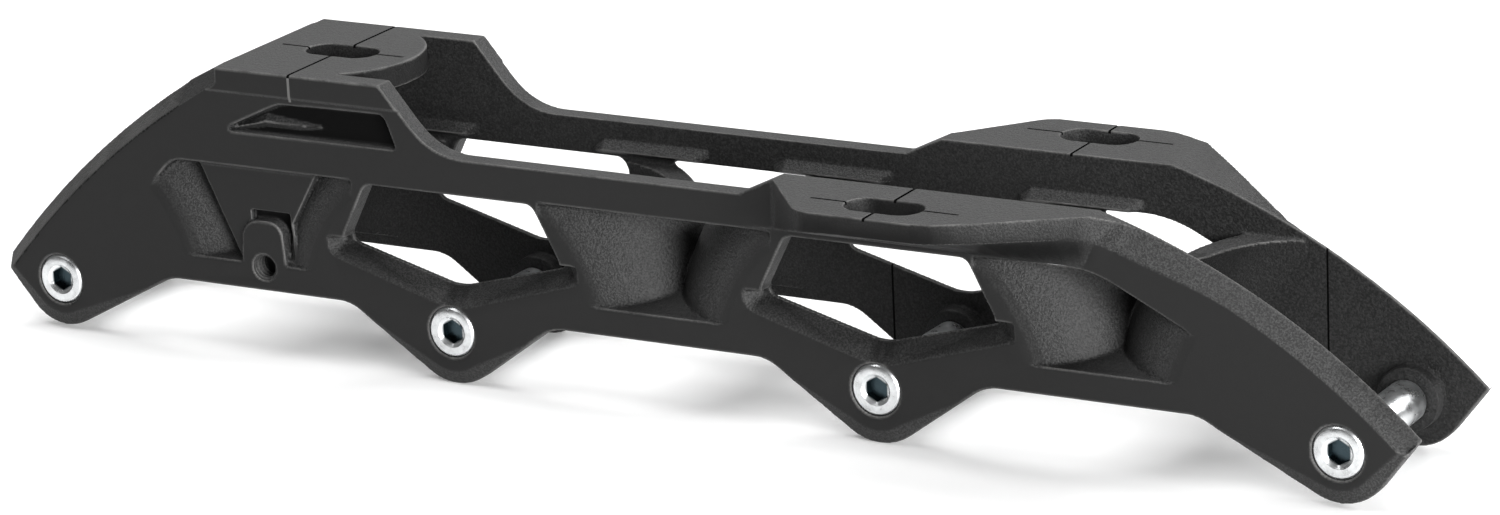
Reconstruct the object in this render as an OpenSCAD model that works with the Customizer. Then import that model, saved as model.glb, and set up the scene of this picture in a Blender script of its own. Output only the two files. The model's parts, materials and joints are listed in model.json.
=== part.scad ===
// Inline skate frame: a die-cast body for four wheels with three-point boot mounting and four screw-in axles.
// X runs to the front, Y to the left and Z up. The body stands on its eight axle lobes at Z = 0.
// The body is one casting on the real product. Its nodes meet on flat planes and share one rigid body.

/* [Wheelbase] */
// Distance between the first and the last axle
wheelbase = 275; // [274:1:285]
// Inside width of a wheel bay
bay_w = 30; // [29:0.5:34]
// Clear width between the axle bosses
hub_gap = 24; // [22:0.5:25]
// Thickness of the side walls
wall = 4; // [3.5:0.25:5]
// Largest wheel diameter that the bays take
wheel_d = 90; // [80:1:90]
// Clearance between the largest wheel and a web
wheel_clear = 0.5; // [0.3:0.1:1]
// Thickness of a web's round walls on the centre plane
web_t = 3.6; // [3:0.1:4.5]

/* [Side walls] */
// Radius of the lobe around an axle
lobe_r = 10.5; // [9.5:0.25:12]
// Radius of the lobes around the first and the last axle
end_lobe_r = 9.7; // [9:0.1:10.5]
// Slope of a lobe's flanks, in degrees
flank_slope = 36; // [30:1:42]
// Slope of the inner flank of the first and the last lobe, in degrees
end_flank = 28; // [24:1:36]
// Underside of the lower chord, above the axles
chord_lo = 3.4; // [2:0.1:4.5]
// Top of the lower chord between the windows, above the axles
chord_hi = 8.8; // [8:0.1:11]
// Underside of the upper rail, above the axles
rail_lo = 28; // [26:0.5:29]
// Top of the upper rail, above the axles
rail_hi = 34.7; // [33:0.1:36]
// Fillet between a lobe and the chord
chord_fillet = 9; // [4:1:12]
// Radius of the long arc along the top of the tail
tail_r = 195; // [170:1:230]
// Radius of the long arc along the top of the nose
nose_r = 147.6; // [130:0.1:180]
// Width of the chamfer along the tail
tail_chamfer_w = 3.3; // [1.5:0.1:4]
// Width of the chamfer along the nose
nose_chamfer_w = 3.2; // [1.5:0.1:3.5]
// Height of the bevel along the lower edge of a lobe
lobe_bevel = 3; // [1.5:0.1:4]
// Depth of that bevel into the wall
lobe_bevel_d = 1; // [0.5:0.1:1.5]

/* [Windows] */
// Half width of a window at its top edge
window_top = 18.6; // [14:0.1:19.5]
// Half width of a window at its widest
window_half = 24.9; // [21:0.1:25.5]
// Offset of a window's middle in front of its axle
window_shift = 0.9; // [-1:0.1:1]
// Height of the widest place above the axles
window_mid = 15.2; // [14:0.1:17]
// Lowest point of a window above the axles
window_lo = 8.5; // [8:0.1:10]
// Drop of the funnel bevel below a window's lower edge
funnel_drop = 4; // [2:0.1:4.5]
// Thickness of the land left behind the funnel bevel
funnel_land = 1; // [0.5:0.1:2]

/* [Rear deck] */
// Height of the deck's top above the axles
deck_hi = 47.7; // [46:0.1:50]
// Thickness of the deck
deck_t = 4.7; // [4:0.1:5.5]
// Place of the rear bolt slot along X, from the middle of the wheelbase
rear_slot_x = -79.3; // [-84:0.1:-76]
// Radius of the deck's rounded front edge
deck_nose_r = 18; // [16:0.5:20]

/* [Front pads] */
// Height of the pads' top above the axles
pad_hi = 38.3; // [37.5:0.1:39.5]
// Place of the right front slot along X
right_slot_x = 53.5; // [48:0.1:58]
// Forward offset of the left front slot from the right one
slot_stagger = 16.6; // [8:0.1:18]
// Distance of a front slot from the centre plane
front_slot_y = 27; // [25:0.1:28.5]
// Distance of a pad's outer edge from the centre plane
pad_edge = 35.2; // [33:0.1:38]
// Thickness of a pad at its outer edge
pad_t = 4; // [3:0.1:5]

/* [Bolt slots] */
// Width of a bolt slot
slot_w = 8.2; // [6:0.1:9]
// Length of a bolt slot from end to end
slot_len = 15.5; // [12:0.5:18]

/* [Axles] */
// Diameter of an axle's shank, the bearing seat
axle_d = 8; // [6:0.5:8]
// Diameter of an axle's head
head_d = 10; // [9.5:0.1:11]
// Length of the head in its counterbore
head_t = 2.6; // [2:0.1:3]
// Diameter of the threaded end
thread_d = 7; // [5:0.5:7]
// Diameter of the raised boss around an axle
boss_d = 12; // [11:0.5:14]
// Width of the hexagon socket across flats
hex_af = 4; // [4:0.5:5]
// Depth of the hexagon socket
hex_deep = 2.2; // [1.5:0.1:2.4]
// Radial clearance of an axle in the body
axle_clear = 0.05; // [0.02:0.01:0.1]

/* [Brake lug] */
// Place of the brake thread along X, from the rear pinch
brake_dx = 3.6; // [2:0.1:5]
// Height of the brake thread above the axles
brake_z = 8.1; // [7:0.1:9]
// Tapping diameter of the brake thread
brake_d = 5.2; // [4:0.1:6]
// Width of the lug around the brake thread
lug_w = 11; // [9:0.5:13]

/* [Hidden] */
// Working margin of the cuts
eps = 0.05;
// Steps of a small corner and of a long arc
corner_n = 8;
arc_n = 14;
$fn = 64;

axle_h = lobe_r;
pitch = wheelbase / 3;
axle_x = [for (i = [-1.5:1:1.5]) i * pitch];
pinch_x = [for (i = [-1:1]) i * pitch];
half_in = bay_w / 2;
half_out = half_in + wall;
// Round space around a wheel and the outside of the wall around it
bay_r = wheel_d / 2 + wheel_clear;
shell_r = bay_r + web_t;
// Reach of a pinch along X, measured on the outer faces
pinch_half = 25;
// Upper edges of the rear and the front pinch, from the middle of the pinch and the underside of the rail
rear_pinch_bend = -16.5;
rear_pinch_drop = 9;
rear_pinch_r = 6;
front_pinch_bend = -2;
front_pinch_rise = 0.5;
front_pinch_drop = 13;
front_pinch_r = 25;
// Slope of a pinch's floor
pocket_draft = 0.2;
// Stand-out of the round walls that keeps their start on the outer faces a clean crease
crease = 0.1;

deck_lo = deck_hi - deck_t;
// Reach of the deck from its slot: top to the front and rear, rounded front edge, and underside to the rear
deck_ahead = 20.5;
deck_behind = 17.2;
deck_nose = 16;
deck_tail = 26.2;
deck_front = rear_slot_x + deck_ahead;
deck_rear = rear_slot_x - deck_behind;
deck_nose_x = rear_slot_x + deck_nose;
// Slope of the wall's descent from the deck to the rail
descent = 1.2;
descent_fillet = 15;
// Width of the deck's step beyond the outer faces
deck_step = 0.3;
// Pad outline, measured from the slot
pad_rear = 34.5;
pad_back = 14;
pad_ramp = 7.5;
pad_under = 28.6;
pad_fade = 41;
// Distance of the nose's start at the top of the rail from the left slot
nose_lead = 31.4;
// Tips of the nose and the tail: height above the axles and reach beyond the outer axles
tip_z = 3;
tip_reach = 14.5;
// Band along a pad's side, which turns into the chamfer of the nose. Measured from the slot: its start, and
// where it takes its draft, where its upper and its lower edge run in, and where its height swells and falls.
band_start = -13;
band_draft = [-13, -7];
band_top = [11, 45];
band_foot = [11, 40];
band_rise = [30, 42];
band_fall = [46, 66];
band_swell = 0.6;
band_n = 30;
pad_draft = 1;
// Width of the land left between that chamfer and the inner face
band_land = 0.6;
// Least height of the slope below the band
slope_min = 1;
// Heights over the band at which the two cuts along it run out to the side
band_over = [1, 3];
// Raised gussets where the webs run into the rails: reach from the pinch, length of their ends, thickness and
// heights of the slope
gusset = [10, 30];
gusset_end = 3;
gusset_t = 1.8;
gusset_rise = [1, 3];
// Edges of a web below and above, at the walls and on the centre plane, and the width of its level middle
web_foot = [3.3, 0.8];
web_crown = [1, 3.6];
web_bend = 7.5;
web_lo = [for (h = web_foot) chord_hi - h];
web_hi = [for (h = web_crown) rail_lo - h];
// Height of the straight side of a bay under its round rim
web_start = 1.2;
// Corners of a window and its gap to the rail
window_gap = 0.5;
window_top_r = 2.5;
window_side_r = 2;
window_foot_r = 10;
// Spread of the funnel bevel to the sides and downwards, as shares of its drop
funnel_side = 0.8;
funnel_low = 0.6;
funnel_over = 1;
funnel_r = 0.4;
funnel_round = 0.65;
// Plate across the rear pinch: setback, and ends of its upper and lower edge from the middle of the pinch
plate_back = 1;
plate_top = [-10.8, 16.5];
plate_foot = [-1.8, 11];
plate_neck = 10.4;
// Lug around the brake thread: height over the chord, foot, taper and corners
lug_h = 8.7;
lug_foot = 1;
lug_taper = 1;
lug_r = [3, 4];
// Groove above and in front of the lug: height, depth and the rib left beyond it
groove_h = 1.9;
groove_d = 1.3;
groove_rib = 0.7;
// Recess below the deck: depth, ends from the rear slot, gaps to the rail and the deck, and corners
recess_d = 1.8;
recess_lo = [-16.7, 23.5];
recess_hi = [-3, 21];
recess_foot = 0.4;
recess_gap = [1.5, 1.2];
recess_r = [8, 2];
recess_foot_r = 0.5;
// Ridge along the recess: places along X, heights of its crest and its two feet, and depths of its crest
ridge_x = [1.5, 10, 26];
ridge_crest = [0.5, 2.5, 2.3];
ridge_top = [0.8, 4.8, 5.4];
ridge_foot = [0.3, 0.6, 0.6];
ridge_depth = [0.4, 0.5, 1.9];
// Corners of a pad in plan
pad_start = 0.5;
pad_start_r = 2;
pad_back_r = 6;
// Play at the tip of an axle, and the countersink of its socket
tip_back = 1;
sink_d = 1.4;
sink_h = 0.6;
// Alignment marks across the bolt slots: width, depth and reach along X and Y
mark_w = 0.5;
mark_d = 0.3;
deck_mark = 14;
pad_mark = [15, 13.2];

function unit(v) = v / norm(v);
function polar(r, a) = r * [cos(a), sin(a)];
function arc(c, r, a0, a1, n) = [for (i = [0:n]) c + polar(r, a0 + (a1 - a0) * i / n)];
function angle_at_z(c, r, z) = asin((z - c.y) / r);
// Centre of an arc of radius r that runs clockwise from p to q
function arc_centre(p, q, r) =
    let (d = q - p)
    (p + q) / 2 + sqrt(r * r - d * d / 4) * unit([d.y, -d.x]);
// Corner of two tangents to a circle, with outward normals at angles a and b
function tangent_corner(c, r, a, b) = c + polar(r / cos((b - a) / 2), (a + b) / 2);

// Points of a corner at b, rounded with radius r
function fillet(a, b, c, r) =
    r == 0 ? [b] :
    let (u = unit(a - b), w = unit(c - b), half = acos(u * w) / 2)
    let (o = b + unit(u + w) * r / sin(half), s = b + u * r / tan(half), e = b + w * r / tan(half))
    let (a0 = atan2(s.y - o.y, s.x - o.x), turn = atan2(cross(s - o, e - o), (s - o) * (e - o)))
    [for (i = [0:corner_n]) o + polar(r, a0 + turn * i / corner_n)];
// Outline from [x, z, radius] corners
function xy(p) = [p.x, p.y];
function rounded(p) =
    let (n = len(p))
    [for (i = [0:n - 1]) each fillet(xy(p[(i + n - 1) % n]), xy(p[i]), xy(p[(i + 1) % n]), p[i][2])];

// Lower edge of a wall from the nose to the tail
function flank_dx(r, slope) = (r + chord_lo * cos(slope)) / sin(slope);
function lobe(x) = [
    [x + flank_dx(lobe_r, flank_slope), chord_lo, chord_fillet],
    concat(tangent_corner([x, 0], lobe_r, 270 - flank_slope, 270 + flank_slope), lobe_r),
    [x - flank_dx(lobe_r, flank_slope), chord_lo, chord_fillet]
];
// Long arcs along the top of the tail and the nose, from their ends
tail_c = arc_centre([axle_x[0] - tip_reach, tip_z], [rear_slot_x - deck_tail, deck_lo], tail_r);
nose_top_x = right_slot_x + slot_stagger + nose_lead;
nose_c = arc_centre([nose_top_x, rail_hi], [axle_x[3] + tip_reach, tip_z], nose_r);
// The tips lie on the long arcs, and a line from each runs down to the outer lobe
nose_tip = angle_at_z(nose_c, nose_r, tip_z);
tail_tip = 180 - angle_at_z(tail_c, tail_r, tip_z);
nose_end = nose_c + polar(nose_r, nose_tip) - [axle_x[3], 0];
tail_end = tail_c + polar(tail_r, tail_tip) - [axle_x[0], 0];
nose_normal = 360 + atan2(nose_end.y, nose_end.x) - acos(end_lobe_r / norm(nose_end));
tail_normal = atan2(tail_end.y, tail_end.x) + acos(end_lobe_r / norm(tail_end));
nose_corner = tangent_corner([axle_x[3], 0], end_lobe_r, 270 - end_flank, nose_normal);
tail_corner = tangent_corner([axle_x[0], 0], end_lobe_r, tail_normal, 270 + end_flank);

function wall_outline() = concat(
    arc(tail_c, tail_r, tail_tip, 180 - angle_at_z(tail_c, tail_r, deck_lo), arc_n),
    [[deck_front + (deck_hi - deck_lo) / descent, deck_lo]],
    fillet([deck_front, deck_hi], [deck_front + (deck_hi - rail_hi) / descent, rail_hi], [0, rail_hi],
        descent_fillet),
    arc(nose_c, nose_r, angle_at_z(nose_c, nose_r, rail_hi), nose_tip, arc_n),
    rounded(concat(
        [concat(nose_c + polar(nose_r, nose_tip), 0)],
        [concat(nose_corner, end_lobe_r)],
        [[axle_x[3] - flank_dx(end_lobe_r, end_flank), chord_lo, chord_fillet]],
        lobe(axle_x[2]),
        lobe(axle_x[1]),
        [[axle_x[0] + flank_dx(end_lobe_r, end_flank), chord_lo, chord_fillet]],
        [concat(tail_corner, end_lobe_r)],
        [concat(tail_c + polar(tail_r, tail_tip), 0)]
    ))
);

function window_outline() = rounded([
    [-window_top, rail_lo - window_gap, window_top_r],
    [-window_half, window_mid, window_side_r],
    [0, window_lo, window_foot_r],
    [window_half, window_mid, window_side_r],
    [window_top, rail_lo - window_gap, window_top_r]
]);

function funnel_outline(drop) = rounded([
    [-window_half - funnel_side * drop, window_mid + funnel_over, funnel_r],
    [-window_half - funnel_side * drop, window_mid - funnel_low * drop, funnel_r + funnel_round * drop],
    [0, window_lo - drop, window_foot_r],
    [window_half + funnel_side * drop, window_mid - funnel_low * drop, funnel_r],
    [window_half + funnel_side * drop, window_mid + funnel_over, funnel_r]
]);

// Upright plate between y0 and y1 from an outline in X and Z
module plate(y0, y1) {
    translate([0, y1, 0])
        rotate([90, 0, 0])
            linear_extrude(y1 - y0)
                children();
}

// Solid turned about a line along Y through [x, z]
module along_y(x, z, y0) {
    translate([x, y0, z])
        rotate([-90, 0, 0])
            children();
}

module raised() {
    translate([0, 0, axle_h])
        children();
}

// Bar with triangular sections, whose corners run along the lists p, q and r
module strip(p, q, r) {
    n = len(p);
    polyhedron(
        points = concat(p, q, r),
        faces = concat(
            [[0, n, 2 * n], [n - 1, 3 * n - 1, 2 * n - 1]],
            [for (i = [0:n - 2], k = [0:2])
                let (a = k * n + i, b = (k + 1) % 3 * n + i)
                each [[a, a + 1, b + 1], [a, b + 1, b]]]
        )
    );
}

// Stock outside the chamfer cone of the tail
module tail_chamfer() {
    reach = wall + deck_step + 1;
    difference() {
        translate([tail_c.x - tail_r, -half_in - reach, chord_lo - lobe_r])
            cube([deck_rear - tail_c.x + tail_r, reach, deck_hi + lobe_r]);
        along_y(tail_c.x, tail_c.y, -half_in - reach - eps)
            cylinder(h = reach + 2 * eps, r1 = tail_r - tail_chamfer_w * reach / wall, r2 = tail_r);
    }
}

// Upper and lower edge of the band at x, on the right side with a slot at s
function part_of(x, range) = max(0, min(1, (x - range[0]) / (range[1] - range[0])));
function ease(x, range) = let (t = part_of(x, range)) t * t * (3 - 2 * t);
function run_in(x, range) = (2 * part_of(x, range) + ease(x, range)) / 3;
function nose_z(x) = nose_c.y + sqrt(nose_r * nose_r - pow(x - nose_c.x, 2));
function band_hi(s, x) =
    [x, (pad_edge - half_in - band_land) * run_in(x - s, band_top) - pad_edge, min(pad_hi, nose_z(x))];
function band_lo(s, x) =
    let (top = band_hi(s, x), full = pad_t + band_swell * ease(x - s, band_rise))
    let (height = full + (nose_chamfer_w - full) * ease(x - s, band_fall))
    let (down = top.z < pad_hi ? height * unit(nose_c - [x, top.z]) : [0, -height])
    let (edge = pad_edge - pad_draft * ease(x - s, band_draft))
    [x + down.x, (edge - half_out - eps) * run_in(x - s, band_foot) - edge, top.z + down.y];

// Stations of the band from its start to the tip of the nose
function band_x(s) =
    let (first = s + band_start, last = axle_x[3] + tip_reach)
    [for (i = [0:band_n]) first + (last - first) * i / band_n];

// Stock outside the band
module outside_band(s) {
    hi = [for (x = band_x(s)) band_hi(s, x)];
    lo = [for (x = band_x(s)) band_lo(s, x)];
    strip(hi + (hi - lo) / 2, [for (i = hi) [i.x, -2 * pad_edge, i.z + band_over[0]]], lo);
}

// Stock below the band, outside the slope that runs down to the wall
module below_band(s) {
    stations = [for (x = band_x(s)) if (x < s + band_top[1]) x];
    hi = [for (x = stations) band_hi(s, x)];
    lo = [for (x = stations) band_lo(s, x)];
    foot = [for (i = lo) [i.x, -half_out, min(pad_under, i.z - slope_min)]];
    strip(lo, [for (i = hi) [i.x, -2 * pad_edge, i.z + band_over[1]]], foot);
}

// Bevel along the lower edge of the right wall around an axle at x. The edge has outward normals at angles a,
// runs t along its tangents from the lobe's circle and takes a bevel of height h.
module edge_bevel(x, r, a, t, h) {
    function at(i, out, y) =
        let (e = polar(r + out, a[i]) + polar(t[i], a[i] + 90))
        [x + e.x, y - half_out, e.y];
    strip(
        [for (i = [0:len(a) - 1]) at(i, eps, max(eps, h[i] / lobe_bevel * lobe_bevel_d))],
        [for (i = [0:len(a) - 1]) at(i, -h[i], -eps)],
        [for (i = [0:len(a) - 1]) at(i, 1, -1)]
    );
}

// Length of a lobe's flank between its circle and the fillet to the chord
function flank_len(r, slope) =
    sqrt(pow(flank_dx(r, slope), 2) + pow(chord_lo, 2) - r * r) - chord_fillet * tan(slope / 2) - 2 * eps;

function steps(a, b) = [for (i = [0:corner_n]) a + (b - a) * i / corner_n];

// Bevels of the right wall's lobes, which fade out along their flanks and towards the tips
module lobe_bevels() {
    full = [for (i = [0:corner_n]) lobe_bevel];
    level = [for (i = [0:corner_n]) 0];
    flank = flank_len(lobe_r, flank_slope);
    end_len = flank_len(end_lobe_r, end_flank);
    for (x = [axle_x[1], axle_x[2]])
        edge_bevel(
            x,
            lobe_r,
            concat(270 - flank_slope, steps(270 - flank_slope, 270 + flank_slope), 270 + flank_slope),
            concat(-flank, level, flank),
            concat(-eps, full, -eps)
        );
    edge_bevel(
        axle_x[0],
        end_lobe_r,
        concat(tail_normal, steps(tail_normal, 270 + end_flank), 270 + end_flank),
        concat(-norm(tail_end), level, end_len),
        concat(lobe_bevel / 3, full, -eps)
    );
    edge_bevel(
        axle_x[3],
        end_lobe_r,
        concat(270 - end_flank, steps(270 - end_flank, nose_normal), nose_normal),
        concat(-end_len, level, norm(nose_end)),
        concat(-eps, full, lobe_bevel / 3)
    );
}

// Window through the right wall with its funnel bevel
module window(x) {
    translate([x + window_shift, 0, 0]) {
        plate(-half_out - 1, -half_in + 1)
            polygon(window_outline());
        hull() {
            plate(-half_in - funnel_land - eps, -half_in - funnel_land)
                polygon(funnel_outline(0));
            plate(-half_out - eps, -half_out)
                polygon(funnel_outline(funnel_drop));
        }
    }
}

// Disc about an axle with a full-round rim, of radius r and half width half, straight up to the shoulder
module wheel_form(x, r, half, shoulder) {
    along_y(x, 0, 0)
        rotate_extrude($fn = 180)
            translate([r - half, 0])
                circle(r = half);
    along_y(x, 0, -half - 1)
        cylinder(h = 2 * half + 2, r = r - half + shoulder);
}

// Space between the round walls of two bays, over its sloping floor and under the given upper edge
module pocket(i, top) {
    x = pinch_x[i];
    difference() {
        intersection() {
            translate([x - pinch_half, 0, 0])
                rotate([90, 0, 90])
                    linear_extrude(2 * pinch_half)
                        polygon([
                            [-half_out - 1, chord_hi - pocket_draft],
                            [0, chord_hi + pocket_draft * half_out],
                            [half_out + 1, chord_hi - pocket_draft],
                            [half_out + 1, deck_lo],
                            [-half_out - 1, deck_lo]
                        ]);
            plate(-half_out - 2, half_out + 2)
                polygon(concat([[x - pinch_half, 0], [x + pinch_half, 0]], top));
        }
        for (j = [i, i + 1])
            wheel_form(axle_x[j], shell_r, half_out + crease, crease);
    }
}

// Upper edges of the rear, middle and front pinch
function level_top(x) = [[x + pinch_half, rail_lo], [x - pinch_half, rail_lo]];
function rear_top(x) = rounded([
    [x + pinch_half, rail_lo, 0],
    [x + rear_pinch_bend, rail_lo, rear_pinch_r],
    [x - pinch_half, rail_lo - rear_pinch_drop, 0]
]);
function front_top(x) = rounded([
    [x + pinch_half, rail_lo - front_pinch_drop, 0],
    [x + front_pinch_bend, rail_lo + front_pinch_rise, front_pinch_r],
    [x - pinch_half, rail_lo, 0]
]);

// Flat plate across the rear pinch, with the lug for the brake
module brake_plate() {
    x = pinch_x[0];
    lug_x = x + brake_dx;
    difference() {
        plate(-half_out + plate_back, -half_in)
            polygon([
                [x + plate_top[0], rail_lo + eps],
                [x + plate_top[1], rail_lo + eps],
                [x + plate_neck, chord_hi + lug_h],
                [x + plate_foot[1], chord_hi - eps],
                [x + plate_foot[0], chord_hi - eps]
            ]);
        plate(-half_out, -half_out + plate_back + groove_d)
            polygon([
                [lug_x - lug_w / 4, chord_hi + lug_taper],
                [x + plate_foot[1] - groove_rib, chord_hi + lug_taper],
                [x + plate_neck - groove_rib, chord_hi + lug_h + groove_h],
                [lug_x - lug_w / 4, chord_hi + lug_h + groove_h]
            ]);
    }
    plate(-half_out, -half_in)
        polygon(rounded([
            [lug_x - lug_w / 2, chord_lo + lug_foot, 0],
            [lug_x + lug_w / 2, chord_lo + lug_foot, 0],
            [lug_x + lug_w / 2 - lug_taper, chord_hi + lug_h, lug_r[0]],
            [lug_x - lug_w / 2 + lug_taper, chord_hi + lug_h, lug_r[1]]
        ]));
}

// Lens-shaped recess in the wall below the deck, with a ridge that fades out on its floor
module recess() {
    foot = rail_hi + recess_foot;
    function at(i, depth, z) = [rear_slot_x + recess_lo[0] + ridge_x[i], -half_out + depth, foot + z];
    difference() {
        plate(-half_out - 1, -half_out + recess_d)
            polygon(rounded([
                [rear_slot_x + recess_lo[0], foot, recess_foot_r],
                [rear_slot_x + recess_lo[1], foot, recess_foot_r],
                [rear_slot_x + recess_hi[1], deck_lo - recess_gap[1], recess_r[1]],
                [rear_slot_x + recess_hi[0], deck_lo - recess_gap[0], recess_r[0]]
            ]));
        strip(
            [for (i = [0:2]) at(i, ridge_depth[i], ridge_crest[i])],
            [for (i = [0:2]) at(i, recess_d + plate_back, ridge_foot[i])],
            [for (i = [0:2]) at(i, recess_d + plate_back, ridge_top[i])]
        );
    }
}

// Wall of the right side, without its axle holes, under a pad with a slot at s
module side_wall(s) {
    difference() {
        union() {
            plate(-half_out, -half_in)
                polygon(wall_outline());
            for (x = axle_x)
                along_y(x, 0, -half_in - eps)
                    cylinder(h = half_in - hub_gap / 2 + eps, d = boss_d);
            for (x = [pinch_x[0], pinch_x[1]])
                rail_gusset(x, 1);
            for (x = [pinch_x[1], pinch_x[2]])
                rail_gusset(x, -1);
        }
        tail_chamfer();
        outside_band(s);
        for (x = [axle_x[1], axle_x[2]])
            window(x);
        pocket(0, rear_top(pinch_x[0]));
        pocket(1, level_top(pinch_x[1]));
        pocket(2, front_top(pinch_x[2]));
        recess();
        lobe_bevels();
    }
}

// Sloped gusset under the rail where a web begins, with ends that run out on the wall
module rail_gusset(x, s) {
    mid = x + s * (gusset[0] + gusset[1]) / 2;
    half = (gusset[1] - gusset[0]) / 2;
    stations = [mid - half - gusset_end, mid - half, mid + half, mid + half + gusset_end];
    out = [0, gusset_t, gusset_t, 0];
    strip(
        [for (i = [0:3]) [stations[i], -half_in - eps, rail_lo]],
        [for (i = [0:3]) [stations[i], -half_in + out[i], rail_lo + gusset_rise[0]]],
        [for (i = [0:3]) [stations[i], -half_in - eps, rail_lo + gusset_rise[1]]]
    );
}

// Wall on the right, which takes the axle heads
module head_side_wall() {
    color([0.08, 0.08, 0.09])
        raised()
            difference() {
                union() {
                    side_wall(right_slot_x);
                    brake_plate();
                }
                for (x = axle_x) {
                    along_y(x, 0, -half_out - 1)
                        cylinder(h = half_out, d = axle_d + 2 * axle_clear);
                    along_y(x, 0, -half_out - 1)
                        cylinder(h = head_t + 1, d = head_d + 2 * axle_clear);
                }
                along_y(pinch_x[0] + brake_dx, brake_z, -half_out - 1)
                    cylinder(h = wall + 2, d = brake_d);
            }
}

// Wall on the left, which takes the axle threads
module thread_side_wall() {
    color([0.08, 0.08, 0.09])
        raised()
            difference() {
                mirror([0, 1, 0])
                    side_wall(right_slot_x + slot_stagger);
                for (x = axle_x)
                    along_y(x, 0, 0)
                        cylinder(h = half_out + 1, d = thread_d + 2 * axle_clear);
            }
}

// Slot for a mounting bolt, with its alignment marks
module bolt_slot(x, y, z, mark_x, mark_y) {
    translate([x, y, z - 2 * deck_t])
        linear_extrude(3 * deck_t)
            for (s = [-1, 1]) {
                translate([s * (slot_len - slot_w) / 2, 0])
                    circle(d = slot_w);
                square([slot_len - slot_w, slot_w], center = true);
            }
    translate([x, y, z])
        cube([mark_w, 2 * mark_y, 2 * mark_d], center = true);
    translate([x, y, z])
        cube([2 * mark_x, mark_w, 2 * mark_d], center = true);
}

// Rear deck over both walls
module rear_deck() {
    color([0.09, 0.09, 0.1])
        raised()
            difference() {
                plate(-half_out - deck_step, half_out + deck_step)
                    polygon([
                        [tail_c.x - tail_r * cos(angle_at_z(tail_c, tail_r, deck_lo)), deck_lo],
                        [deck_rear, deck_hi],
                        [deck_front, deck_hi],
                        [deck_front + (deck_hi - deck_lo) / descent, deck_lo]
                    ]);
                tail_chamfer();
                mirror([0, 1, 0])
                    tail_chamfer();
                translate([0, 0, deck_lo - 1])
                    linear_extrude(deck_t + 2)
                        difference() {
                            translate([rear_slot_x, -half_in])
                                square([2 * deck_nose_r + wall, bay_w]);
                            translate([deck_nose_x - deck_nose_r, 0])
                                circle(r = deck_nose_r);
                        }
                bolt_slot(rear_slot_x, 0, deck_hi, deck_mark, half_out + 1);
                for (s = [-1, 1])
                    translate([rear_slot_x, s * (half_out + deck_step), deck_hi])
                        cube([mark_w, 2 * mark_d, 2 * deck_t], center = true);
            }
}

// Flared pad of the right side, around a slot at x
module front_pad(x) {
    rise = x - pad_rear;
    front = max(nose_top_x, x + pad_fade);
    difference() {
        intersection() {
            rotate([90, 0, 90])
                translate([0, 0, rise])
                    linear_extrude(nose_r)
                        polygon([
                            [-half_in, rail_hi],
                            [-half_in, pad_hi],
                            [-pad_edge, pad_hi],
                            [-pad_edge, pad_hi - pad_t],
                            [-half_out, pad_under],
                            [-half_out, rail_hi]
                        ]);
            translate([0, 0, pad_under - 1])
                linear_extrude(pad_hi)
                    polygon(rounded([
                        [rise, -half_in + 1, 0],
                        [rise, -half_out, 0],
                        [rise + pad_ramp, -half_out - pad_start, pad_start_r],
                        [x - pad_back, -pad_edge, pad_back_r],
                        [x + pad_fade, -pad_edge, 0],
                        [x + pad_fade, -half_out, 0],
                        [front, -half_out, 0],
                        [front, -half_in + 1, 0]
                    ]));
            along_y(nose_c.x, nose_c.y, -2 * pad_edge)
                cylinder(h = 4 * pad_edge, r = nose_r, $fn = 180);
        }
        translate([rise, -2 * pad_edge, rail_hi])
            rotate([0, -atan((pad_hi - rail_hi) / pad_ramp), 0])
                cube([2 * pad_ramp, 4 * pad_edge, 2 * pad_ramp]);
        outside_band(x);
        below_band(x);
        bolt_slot(x, -front_slot_y, pad_hi, pad_mark[0], pad_mark[1]);
    }
}

module head_side_pad() {
    color([0.1, 0.1, 0.11])
        raised()
            front_pad(right_slot_x);
}

module thread_side_pad() {
    color([0.1, 0.1, 0.11])
        raised()
            mirror([0, 1, 0])
                front_pad(right_slot_x + slot_stagger);
}

// Round walls of two neighbouring bays, joined above a floor, between the side walls
module cross_web(i) {
    x = pinch_x[i];
    color([0.07, 0.07, 0.08])
        raised()
            difference() {
                translate([x - pinch_half, 0, 0])
                    rotate([90, 0, 90])
                        linear_extrude(2 * pinch_half)
                            polygon([
                                [-half_in, web_lo[0]],
                                [-web_bend, web_lo[1]],
                                [web_bend, web_lo[1]],
                                [half_in, web_lo[0]],
                                [half_in, web_hi[0]],
                                [web_bend, web_hi[1]],
                                [-web_bend, web_hi[1]],
                                [-half_in, web_hi[0]]
                            ]);
                for (j = [i, i + 1])
                    wheel_form(axle_x[j], bay_r, half_in - crease, web_start);
                pocket(i, level_top(x));
            }
}

module rear_web() {
    cross_web(0);
}

module middle_web() {
    cross_web(1);
}

module front_web() {
    cross_web(2);
}

// Axle with a socket head, a bearing seat and a threaded end
module axle(i) {
    shank_end = hub_gap / 2 - axle_clear;
    color([0.72, 0.73, 0.75])
        raised()
            along_y(axle_x[i], 0, -half_out)
                difference() {
                    union() {
                        cylinder(h = head_t, d = head_d);
                        cylinder(h = half_out + shank_end, d = axle_d);
                        cylinder(h = 2 * half_out - tip_back, d = thread_d);
                    }
                    translate([0, 0, -eps])
                        cylinder(h = hex_deep + eps, d = hex_af / cos(30), $fn = 6);
                    translate([0, 0, -eps])
                        cylinder(h = sink_h, d1 = hex_af / cos(30) + sink_d, d2 = hex_af / cos(30));
                }
}

module axle_1() {
    axle(0);
}

module axle_2() {
    axle(1);
}

module axle_3() {
    axle(2);
}

module axle_4() {
    axle(3);
}

head_side_wall();
thread_side_wall();
rear_deck();
head_side_pad();
thread_side_pad();
rear_web();
middle_web();
front_web();
axle_1();
axle_2();
axle_3();
axle_4();
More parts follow.
